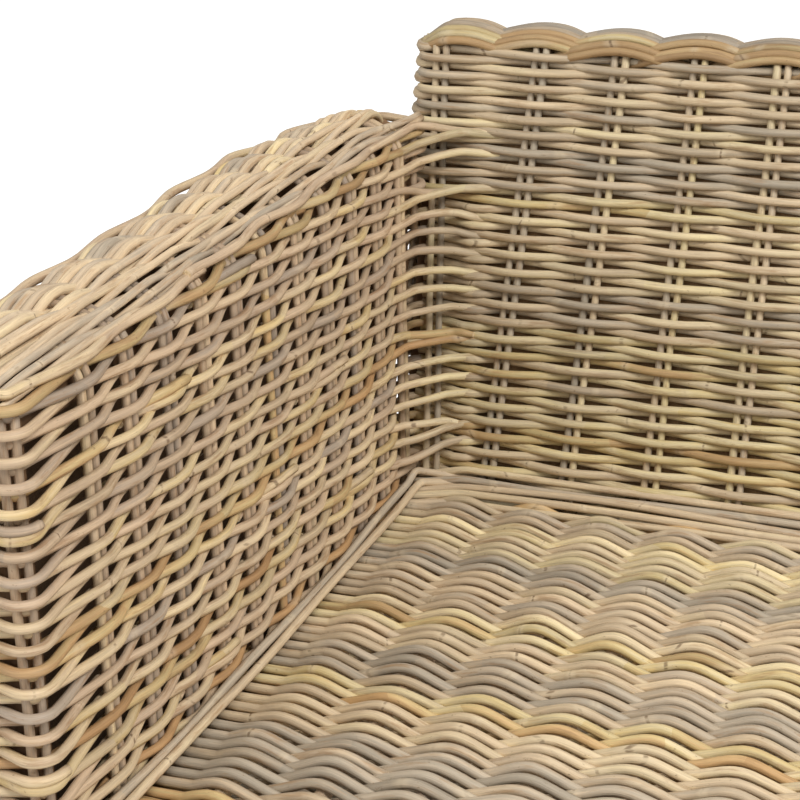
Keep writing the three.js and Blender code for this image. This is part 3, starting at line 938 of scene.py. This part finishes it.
def arm_section():
    """Middle surface of an arm's weave seen from the front, from the seat over the top to the floor"""
    half = XO - XM
    rise = Z_CROWN - HALF - Z_SIDE
    radius = (half ** 2 + rise ** 2) / (2 * rise)
    widest = math.asin(half / radius)
    arch = [
        (-XM - radius * math.sin(a), Z_SIDE + rise - radius * (1 - math.cos(a)))
        for a in np.linspace(-widest, widest, 9)
    ]
    return rounded([(-XI, Z_RIBS)] + arch + [(-XO, Z_FOOT)], 24)


def arm_top_rows(s, bundle):
    """Rows along the top of an arm, turned down over its ends"""
    section = arm_section()
    run = lengths(section)
    top = row_height(ROWS_ARM - 1)
    high = np.nonzero(section[:, 1] > top)[0]
    first, last = run[high[0]], run[high[-1]]
    heading = unit(np.gradient(section, axis=0))
    for m in range(1, TOP_ROWS + 1):
        at = first + EDGE_PITCH * (min(m, EDGE_ROWS + 1) - EDGE_START)
        at += (last - at) * max(m - EDGE_ROWS - 1, 0) / (TOP_ROWS - EDGE_ROWS)
        x, z, dx, dz = (np.interp(at, run, axis) for axis in (*section.T, *heading.T))
        leg = max(z - top - ROD, TOP_LEG)
        edge = m <= EDGE_ROWS
        front, rear = TOP_SLOPE
        rear += TOP_ROUND * max(0.0, (-XM - x) / (XO - XM)) ** 2
        corners = [(YF, -leg), (YF + front, 0), (YR - rear, 0), (YR - TOP_END, -TOP_DIVE)]
        slips = m <= EDGE_SLIPS
        if slips:
            corners[2:] = [(YR + EDGE_PAST, 0)]
        plan = rounded(corners, TOP_CORNER)
        place = lengths(plan)
        stops = [place[np.argmin(np.abs(plan[:, 0] - y) + np.abs(plan[:, 1]) / 9)] for y in ARM_STAKES]
        if edge:
            signs = [-EDGE_DIP if (k + m) % 3 == 0 else 1 for k in range(len(ARM_STAKES))]
        else:
            signs = [sign(ROWS_ARM - 1 + m, k) for k in range(len(ARM_STAKES))]
        swing = TOP_SWING * over_under(place, stops, signs) * (1 + 0.07 * wander(place, 90))
        level = np.array([-s * dx, 0.0, dz])
        if edge:
            slip = ease((plan[:, 0] - YR + EDGE_RUN) / EDGE_RUN) * slips
            swing += EDGE_LIFT + EDGE_REAR_LIFT * slip
            where = at - (EDGE_SLIDE * m - 2) * slip
            x, z, dx, dz = (np.interp(where, run, axis) for axis in (*section.T, *heading.T))
        along = unit(np.gradient(plan, axis=0))
        y = plan[:, 0] - along[:, 1] * swing
        h = plan[:, 1] + along[:, 0] * swing
        drift = waves(place, (1.7, 140), (0.6, 60))
        # Outwards is (dz, -dx)
        line = np.column_stack([x + dz * h + dx * drift, y, z - dx * h + dz * drift])
        line[:, 2] -= shoulder(line)
        tone = shade(at * 0.5 + 1200, 24.0, 0.24 if edge else 0.46, 0.12, 0.1 if edge else 0.2)
        radius = ROD * (0.84 if edge else 1.02) * rng.uniform(0.94, 1.06)
        bundle.rod(mirrored(line, s), radius, level, tone, 8)


def pair(bundle, path, across, level, sides):
    """Two stakes side by side along a path"""
    run = lengths(path)
    for side in (-1, 1):
        off = side * PAIR + 0.5 * wander(run, 90)
        line = path + off[:, None] * np.asarray(across)
        girth = STAKE * rng.uniform(0.95, 1.06)
        bundle.rod(line, girth, level, shade(rng.uniform(0, 900), 24.0, 0.36), sides)


def arm_stakes(s, bundle):
    """Stakes that go up the inner face, over the top and down the outer face, and those of the ends"""
    section = arm_section()
    for y in ARM_STAKES:
        x = section[:, 0] + np.where(section[:, 0] > -XM, bow(y, section[:, 1]), 0)
        path = np.column_stack([x, np.full(len(x), y), section[:, 1]])
        path[:, 2] -= shoulder(path) * ease((section[:, 1] - Z_SIDE + 40) / 40)
        pair(bundle, mirrored(path, s), ALONG, ALONG, 7)
    turned = math.sqrt(0.5)
    low, high, side = Z_FOOT, Z_CROWN - HALF - 9, Z_SIDE - 1
    ends = [
        (-XM, YF, 1, 0, low, high), (-XM, YR, 1, 0, low, high),
        (X_OUT, Y_AHEAD, turned, -turned, low, side), (X_IN, Y_AHEAD, turned, turned, low, side),
        (X_OUT, Y_BEHIND, turned, turned, low, side), (X_IN, Y_BEHIND, turned, -turned, Z_CLEAR - 30, side),
    ]
    for x, y, dx, dy, bottom, top in ends:
        path = rounded([(x, y, bottom), (x, y, top)])
        pair(bundle, mirrored(path, s), (-s * dx, dy, 0.0), ACROSS, 6)


def back_stakes(bundle):
    """Stakes of the back's face, its rear down to the base, and its ends"""
    zs = np.arange(Z_RIBS - 10, Z_CAP + 6, STEP * 2)
    lows = np.arange(Z_FOOT, Z_CAP + 6, STEP * 2)
    for x in BACK_STAKES:
        path = np.array([(x + lean(x, z), front_skin(z), z) for z in zs])
        pair(bundle, path, ACROSS, ACROSS, 8)
        path = rounded([(x, rear_skin(z), z) for z in lows])
        pair(bundle, path, ACROSS, ACROSS, 6)
    for s in (-1, 1):
        path = np.array([(s * XE, back_face(z) + BACK_DEPTH / 2, z) for z in zs if z > Z_END_STAKE - 60])
        pair(bundle, path, ALONG, ACROSS, 6)
    for x in FRONT_STAKES:
        path = rounded([(x, YF, Z_FOOT), (x, YF, Z_DECK - 14)])
        pair(bundle, path, ACROSS, ACROSS, 6)


HUMP = 6.5  # rise of the border over a pair of stakes
HEAD, TAIL, SHORT = 66, 84, 42  # length of a strand on each side of its pair, and at the back's ends
DIVE, DIVE_AIM = 7.5, 26.0  # how deep it dives there, and how far below the top it heads for
DIVE_FROM, DIVE_RUN = 14, 54  # it starts down this far past its pair, over this length
EMERGE_TO, EMERGE_RUN = 40, 26  # and has come up this far before it
END_RUN, END_DIVE = 30, 1.5  # the same over a shorter length, and deeper, at the back's ends
DIVE_STEEP = 1.1
BORDER_TAPER = 46  # length over which its end tapers
BORDER_LEAN = 0.8  # share of the stakes' lean that it follows
BORDER_TOP = Z_BACK - HUMP - ROD + 0.5  # of the middle of a rod, between the humps
# Strands of the border, from the front round to the rear: how far behind the face, how far below
# the top, and whether it is one of the golden ones
BORDER = [
    (1.0, 10.8, True), (2.5, 5.4, True), (8.0, 1.8, True), (15.0, 0.2, False), (22.5, 0.0, False),
    (30.0, 1.2, False), (37.5, 4.2, False), (44.5, 8.2, False), (50.0, 13.4, False), (53.0, 20.0, False),
]


def border_strand(k, behind, below):
    """One rod of the border: over its own stakes, and under the next hump"""
    stake = BACK_STAKES[k]
    middle = stake - math.copysign(BORDER_LEAN, stake) * abs(lean(stake, Z_BACK))
    first, last = k == 0, k == len(BACK_STAKES) - 1
    x = np.arange(-SHORT if first else -HEAD, (SHORT if last else TAIL) + STEP, STEP)
    rise = HUMP * np.cos(np.pi * x / BACK_PITCH)
    dive = ease((x - DIVE_FROM) / END_RUN) * END_DIVE if last else ease((x - DIVE_FROM) / DIVE_RUN)
    emerge = ease((-x - DIVE_FROM) / END_RUN) * END_DIVE if first else ease((-x - EMERGE_TO) / EMERGE_RUN)
    inward = DIVE * (dive + emerge)
    toward = unit(np.array([BACK_DEPTH / 2 - behind, below - DIVE_AIM]))
    y = back_face(Z_BACK - below) + behind + ROD + toward[0] * inward
    z = BORDER_TOP - below + rise + toward[1] * inward * DIVE_STEEP
    return np.column_stack([middle + x, y, z])


def back_border(bundle):
    """Strands of the border, a group over each pair of stakes"""
    for k in range(len(BACK_STAKES)):
        for behind, below, golden in BORDER:
            line = border_strand(k, behind + 0.8 * rng.normal(), below + 0.6 * rng.normal())
            tone = shade(k * 40 + behind, 24.0, 0.84 if golden else 0.2, 0.08, 0.12)
            bundle.rod(line, ROD * rng.uniform(0.94, 1.06), UP, tone, 8, BORDER_TAPER)


def seat_height(x, way):
    """Height of a seat rod over the middle level at x; way is 1 if it goes over the middle rib"""
    edge = RIB_PITCH * (RIB_COUNT - 1) / 2
    phase = np.pi * np.minimum(np.abs(x), edge) / RIB_PITCH
    beyond = np.pi * np.maximum(np.abs(x) - edge, 0) / RIB_PITCH
    phase = phase + np.minimum(beyond, np.pi / 3)
    return way * (np.cos(phase) + SEAT_CREASE * np.cos(3 * phase)) / (1 + SEAT_CREASE)


def seat_rows(front, rear):
    """Rods across the seat, each over one rib and under the next"""
    count = int((back_face(Z_DECK) - SEAT_GAP - Y_FRONT - SEAT_START) / SEAT_PITCH)
    for i in range(count):
        y = Y_FRONT + SEAT_START + SEAT_PITCH * i
        end = X_INNER + 1 - bow(y, Z_DECK)
        x = np.arange(-end, end + STEP, STEP)
        way = 1 if i % 2 == 0 else -1
        full = ease((end - np.abs(x)) / SEAT_LOW_RUN)
        plan = np.column_stack([x, np.zeros(len(x))])
        shared = 0.09 * swell(plan, 700 + 1.4 * y) + 0.04 * wander(x - x[0], 150)
        swing = SEAT_SWING * (SEAT_LOW + (1 - SEAT_LOW) * full) * (1 + shared)
        stray = SEAT_DRIFT * swell(plan[:, ::-1] + 300, 900 + 1.7 * y)
        z = SEAT_LEVEL + swing * seat_height(x + stray, way) + 0.4 * wander(x - x[0], 80)
        side = 1.3 * swell(plan, 1400 + y) + waves(x - x[0], (0.35, 110), (0.15, 50))
        line = np.column_stack([x, y + side, z])
        tone = shade(y + SEAT_TONES, 26.0, 0.5, 0.26, 0.10)
        (front if i < count / 2 else rear).rod(line, SEAT_ROD, ALONG, tone, 7)


def seat_ribs(bundle):
    """Ribs under the deck, from front to back"""
    for i in range(RIB_COUNT):
        x = RIB_PITCH * (i - (RIB_COUNT - 1) / 2)
        ys = np.arange(YF + 4, back_face(Z_DECK) - 2, STEP * 3)
        line = np.column_stack([np.full(len(ys), x), ys, np.full(len(ys), SEAT_LEVEL)])
        bundle.rod(line, RIB, ACROSS, shade(rng.uniform(0, 900), 24.0, 0.3), 10)


# Rods of the seam along the back: how far before its face, how far above the deck, and their tone
SEAM = [(-2.0, 13.0, 0.38), (2.0, 6.5, 0.16), (7.0, 1.5, 0.3), (13.5, -2.5, 0.5), (20.0, -6.5, 0.4)]
# Rods of the seam along an arm: how far out from its face, how far above the deck, and how they
# turn on to the back, measured from there, from the back's face and from the deck
SIDE_SEAM = [
    (3.6, 3.4, [(3, -5.6, 11.4), (30, 1, 8.4), (58, 7, 1)]),
    (10.6, 2.2, [(3, -12.6, 3.2), (30, -1, 0.2), (58, 7, -2)]),
]
SIDE_CORNER, SIDE_TAPER = 9, 16
# Rods along the front edge: how far behind the front, and how far above the deck
FRONT_EDGE = [(0.5, -6.0), (1.0, -13.0)]
TWIST, TWIST_LENGTH = 1.1, 260  # of the two rods along an arm
SEAM_TUCK = 55  # length over which the rods along the back slip under beside the arms
SEAM_OVERLAP = 12  # points that two of them share at a joint


def side_seam(bundle, s):
    """Rods in the seam along an arm, which turn to the back at the rear"""
    face = back_face(Z_DECK)
    for n, (off, lift, turn) in enumerate(SIDE_SEAM):
        x = off - X_INNER
        ys = np.linspace(Y_FRONT + 4, face - off - 16, 40)
        points = [(x + bow(y, Z_DECK), y, Z_DECK + lift) for y in ys]
        points += [(x + dx, face + dy, Z_DECK + dz) for dx, dy, dz in turn]
        path = rounded(points, SIDE_CORNER)
        run = lengths(path)
        twist = (-1) ** n * TWIST * np.sin(2 * np.pi * run / TWIST_LENGTH)
        path[:, 2] += twist + 0.5 * wander(run, 120)
        path[:, 0] += 0.9 * wander(run, 100)
        bundle.rod(mirrored(path, s), ROD * 0.97, UP, (0.16 + 0.2 * n, 0.6), 8, SIDE_TAPER)


def trim(bundle):
    """Rods in the seam round the seat, and along its front edge"""
    for s in (-1, 1):
        side_seam(bundle, s)
    end = X_INNER - 3
    for n, (off, lift, tone) in enumerate(SEAM):
        x = np.arange(-end, end, STEP)
        tuck = ease(1 - (end - np.abs(x)) / SEAM_TUCK)
        y = back_face(Z_DECK + lift) - off + 0.9 * wander(x - x[0], 150) - 3.0 * n * tuck
        z = Z_DECK + lift + 1.5 * wander(x - x[0], 210) - (4 + 0.5 * lift) * tuck
        for part in np.array_split(np.arange(len(x)), 2 + n % 2):
            part = np.arange(max(part[0] - SEAM_OVERLAP, 0), part[-1] + 1)
            nudge = 2.2 * ease(1 - (x[part] - x[part[0]]) / 60)
            line = np.column_stack([x[part], y[part] - nudge, z[part]])
            bundle.rod(line, ROD * rng.uniform(0.92, 1.04), UP, (tone + 0.06 * rng.normal(), 0.5), 8)
    for off, lift in FRONT_EDGE:
        x = np.arange(-X_INNER - 2, X_INNER + 2, STEP)
        y = Y_FRONT + off + 0.6 * wander(x - x[0], 140)
        z = Z_DECK + lift + 0.6 * wander(x - x[0], 120)
        bundle.rod(np.column_stack([x, y, z]), ROD, UP, shade(off * 90, 24.0, 0.5), 7)


def sheet(name, finish, thickness, surface, us, vs, *nodes):
    """A thin closed sheet, from the middle of its surface at each u and v. Both are given as their
    lowest, their highest and their number."""
    grid = np.array([[surface(u, v) for v in np.linspace(*vs)] for u in np.linspace(*us)], float)
    ripple = 0.3 * rng.normal(size=grid.shape[:2])[..., None]
    grid = grid + ripple * np.array(thickness) / np.linalg.norm(thickness)
    points = np.concatenate([(grid - thickness).reshape(-1, 3), (grid + thickness).reshape(-1, 3)])
    at = np.arange(len(points) // 2).reshape(grid.shape[:2])
    quads = np.stack([at[:-1, :-1], at[:-1, 1:], at[1:, 1:], at[1:, :-1]], -1).reshape(-1, 4)
    rim = np.concatenate([at[0], at[1:, -1], at[-1, -2::-1], at[-2:0:-1, 0]])
    after = np.roll(rim, -1)
    sides = np.stack([after, rim, rim + at.size, after + at.size], -1)
    faces = np.concatenate([quads, quads[:, ::-1] + at.size, sides]).tolist()
    mesh = bpy.data.meshes.new(name)
    mesh.from_pydata([tuple(p) for p in points * MM], [], faces)
    mesh.validate()
    mesh.materials.append(finish)
    stand_for(name, mesh, "panel_weave", nodes)


def painted_shade_sheets():
    """Sheets of painted shade behind the woven panels, with a coarse fabric look: dark inside the outer
    ones, brown behind the back's face and under the deck, where they stand for the shade seen through the
    gaps"""
    # Painted shade: these colours stand for the darkness inside the hollow panels and under the seat
    dark_shade = painted_shade_finish("painted_shade_finish", srgb(88, 68, 49), srgb(124, 98, 72))
    brown = painted_shade_finish("painted_shade_finish_back", srgb(126, 99, 69), srgb(163, 132, 96))
    under = painted_shade_finish("painted_shade_finish_seat", srgb(140, 112, 80), srgb(172, 142, 106))
    thick_x, thick_y, thick_z = np.eye(3) * SHADE_SHEET_HALF
    for side, s in (("left", -1), ("right", 1)):
        x = s * (XO - SHADE_SHEET_GAP)
        sheet(f"arm_shade_sheet_{side}", dark_shade, thick_x, lambda y, z, x=x: (x, y, z),
              (Y_FRONT + 2 * HALF, Y_REAR - 2 * HALF, 24), (Z_FOOT, Z_SIDE, 20),
              f"arm_outer_weave_{side}")
    sheet("back_shade_sheet", dark_shade, thick_y, lambda x, z: (x, rear_skin(z) - SHADE_SHEET_GAP, z),
          (-XE + HALF, XE - HALF, 40), (Z_FOOT, Z_CAP - 2, 24), "back_rear_weave", "base_rear_weave")
    sheet("back_face_shade_sheet", brown, thick_y, lambda x, z: (x, front_skin(z) + BACK_SHADE_SHEET_GAP, z),
          (-XI, XI, 40), (Z_RIBS + 2, Z_CAP - 2, 20), "back_front_weave")
    sheet("apron_shade_sheet", dark_shade, thick_y, lambda x, z: (x, YF + SHADE_SHEET_GAP, z),
          (-X_INNER - HALF, X_INNER + HALF, 40), (Z_FOOT, Z_DECK - 18, 10), "front_apron_weave")
    sheet("seat_shade_sheet", under, thick_z, lambda x, y: (x, y, Z_DECK - SEAT_SHADE_SHEET_DEPTH),
          (6 - X_INNER, X_INNER - 6, 40), (Y_FRONT + 2 * HALF, face_low[1] - 2, 20), "seat_rib_frame")


# Pieces

def dress(name, bundle, finish, slot, *nodes):
    """Makes a piece of a bundle; it stands for the given CAD nodes"""
    mesh = bundle.mesh(name)
    mesh.materials.append(finish)
    mesh.materials.append(CUT)
    stand_for(name, mesh, slot, nodes)


CUT = cut_end()


def weave_sofa():
    """All the woven pieces, in the order of their random draws"""
    painted_shade_sheets()
    # Copies of one cane: their tints paint shade on the arms' panels and the back and light on the arms'
    # tops
    panel = cane("rattan_panel", ARM_TINT_AND_SHADE)
    inside = cane("rattan_arm_inner", ARM_TINT_AND_SHADE, BACK_TINT_AND_SHADE)
    crown = cane("rattan_arm_top", TOP_TINT_AND_LIGHT)
    back = cane("rattan_back", BACK_TINT_AND_SHADE)
    seat = cane("rattan_seat", SEAT_TINT)
    edge = cane("rattan_border", EDGE_TINT)
    for side, s in (("left", -1), ("right", 1)):
        parts = [f"arm_{part}_weave_{side}" for part in ("inner", "outer", "front", "rear", "top")]
        outer, inner, top, stakes = (Bundle() for _ in range(4))
        arm_rows(s, outer, inner)
        arm_top_rows(s, top)
        arm_stakes(s, stakes)
        dress(f"arm_outer_rods_{side}", outer, panel, "panel_weave", parts[1], parts[3])
        dress(f"arm_inner_rods_{side}", inner, inside, "panel_weave", parts[0], parts[2])
        dress(f"arm_top_rods_{side}", top, crown, "panel_weave", parts[4])
        dress(f"arm_stakes_{side}", stakes, panel, "panel_weave", *parts)
    apron, base, face, rear, stakes, border, near, far, ribs, seam = (Bundle() for _ in range(10))
    front_rows(apron)
    rear_rows(base, rear)
    back_front_rows(face)
    back_ring_rows(face, rear)
    back_stakes(stakes)
    back_border(border)
    seat_rows(near, far)
    seat_ribs(ribs)
    trim(seam)
    for name, bundle, finish, slot, *nodes in (
        ("front_apron_rods", apron, panel, "panel_weave", "front_apron_weave"),
        ("base_rear_rods", base, panel, "panel_weave", "base_rear_weave"),
        ("back_front_rods", face, back, "panel_weave", "back_front_weave", "back_end_weave_left",
         "back_end_weave_right"),
        ("back_rear_rods", rear, panel, "panel_weave", "back_rear_weave"),
        ("back_stakes", stakes, back, "panel_weave", "back_front_weave", "back_rear_weave",
         "base_rear_weave", "front_apron_weave"),
        ("back_border_rods", border, edge, "border_rattan", "back_top_weave"),
        ("seat_rods_front", near, seat, "seat_weave", "seat_deck_weave"),
        ("seat_rods_rear", far, seat, "seat_weave", "seat_deck_weave"),
        ("seat_ribs", ribs, panel, "seat_ribs", "seat_rib_frame"),
        ("seat_seam_rods", seam, seat, "border_rattan", "seat_seam_trim"),
    ):
        dress(name, bundle, finish, slot, *nodes)


def finish_frame():
    """Timber and plastic for the CAD parts that stay"""
    pale, dark = srgb(134, 102, 70), srgb(88, 63, 42)
    frame_timber = [timber(f"frame_timber_{axis}", n, pale, dark, 0.68) for n, axis in enumerate("xyz")]
    foot = timber("foot_timber", 2, srgb(116, 86, 58), srgb(62, 42, 27), 0.46)
    glide = plastic()
    for name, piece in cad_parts.items():
        if piece.hide_render:
            continue
        if name.startswith("foot_glide"):
            finish = glide
        elif name.startswith("foot"):
            finish = foot
        else:
            low, high = span(name)
            size = (high - low) * (1, "board" not in name, 1)  # never along y in a board
            finish = frame_timber[int(np.argmax(size))]
        piece.data.materials.clear()
        piece.data.materials.append(finish)


# Stage

FLOOR = 14.0  # half its side, in metres
SOFT = 0.53  # strength of the light from all sides
LAMP_AIM = (0, 0, 0.4)
# Lamps: place, diameter in metres, and power in watts
LAMPS = {"key": ((2.8, -1.7, 3.9), 2.0, 210), "fill": ((-2.4, -2.4, 2.6), 2.6, 50)}
# Camera: the photo's view into the rear left corner of the seat
LENS = 99.0
SENSOR = 36.0
CAMERA_AT = (0.010, -1.494, 1.153)
VIEW_PITCH, VIEW_YAW, VIEW_ROLL = (math.radians(v) for v in (22.2, 21.9, -1.3))


def floor():
    """A pale floor that the camera sees as white, apart from the shadow"""
    mesh = bpy.data.meshes.new("floor")
    corners = [(x * FLOOR, y * FLOOR, 0) for x, y in ((-1, -1), (1, -1), (1, 1), (-1, 1))]
    mesh.from_pydata(corners, [], [(0, 1, 2, 3)])
    piece = add("floor", mesh)
    g = material("floor")
    diffuse = g.node("BsdfDiffuse", {"Color": (0.82, 0.82, 0.82, 1)})
    glow = g.node("Emission", {"Color": (1, 1, 1, 1), "Strength": 0.55})
    none = g.node("Emission", {"Color": (0, 0, 0, 1), "Strength": 0.0})
    seen = g.node("LightPath").outputs["Is Camera Ray"]
    extra = g.node("MixShader", {0: seen, 1: none.outputs[0], 2: glow.outputs[0]})
    both = g.node("AddShader", {0: diffuse.outputs[0], 1: extra.outputs[0]})
    piece.data.materials.append(g.finish(both))


def studio():
    """Soft light from all sides, which the camera sees as white, and two lamps"""
    world = bpy.data.worlds.new("studio")
    bpy.context.scene.world = world
    g = Graph(world)
    soft = g.node("Background", {"Color": (1.0, 0.985, 0.96, 1), "Strength": SOFT})
    white = g.node("Background", {"Color": (1, 1, 1, 1), "Strength": 1.0})
    seen = g.node("LightPath").outputs["Is Camera Ray"]
    mix = g.node("MixShader", {0: seen, 1: soft.outputs[0], 2: white.outputs[0]})
    g.node("OutputWorld", {"Surface": mix.outputs[0]})
    for name, (place, size, power) in LAMPS.items():
        data = bpy.data.lights.new(name, "AREA")
        data.shape = "DISK"
        data.size = size
        data.energy = power
        lamp = add(name, data)
        lamp.location = place
        lamp.rotation_mode = "QUATERNION"
        lamp.rotation_quaternion = (Vector(LAMP_AIM) - Vector(place)).to_track_quat("-Z", "Y")


def camera():
    """The photo's camera"""
    data = bpy.data.cameras.new("camera")
    data.lens = LENS
    data.sensor_width = SENSOR
    level = math.cos(VIEW_PITCH)
    ahead = Vector((-math.sin(VIEW_YAW) * level, math.cos(VIEW_YAW) * level, -math.sin(VIEW_PITCH)))
    right = Vector((math.cos(VIEW_YAW), math.sin(VIEW_YAW), 0))
    above = right.cross(ahead)
    turned_right = math.cos(VIEW_ROLL) * right + math.sin(VIEW_ROLL) * above
    turned_above = -math.sin(VIEW_ROLL) * right + math.cos(VIEW_ROLL) * above
    piece = add("camera", data)
    turn = Matrix((turned_right, turned_above, -ahead)).transposed()
    piece.matrix_world = Matrix.Translation(CAMERA_AT) @ turn.to_4x4()
    bpy.context.scene.camera = piece


camera()
weave_sofa()
finish_frame()
floor()
studio()
bpy.context.scene.view_settings.view_transform = "Standard"
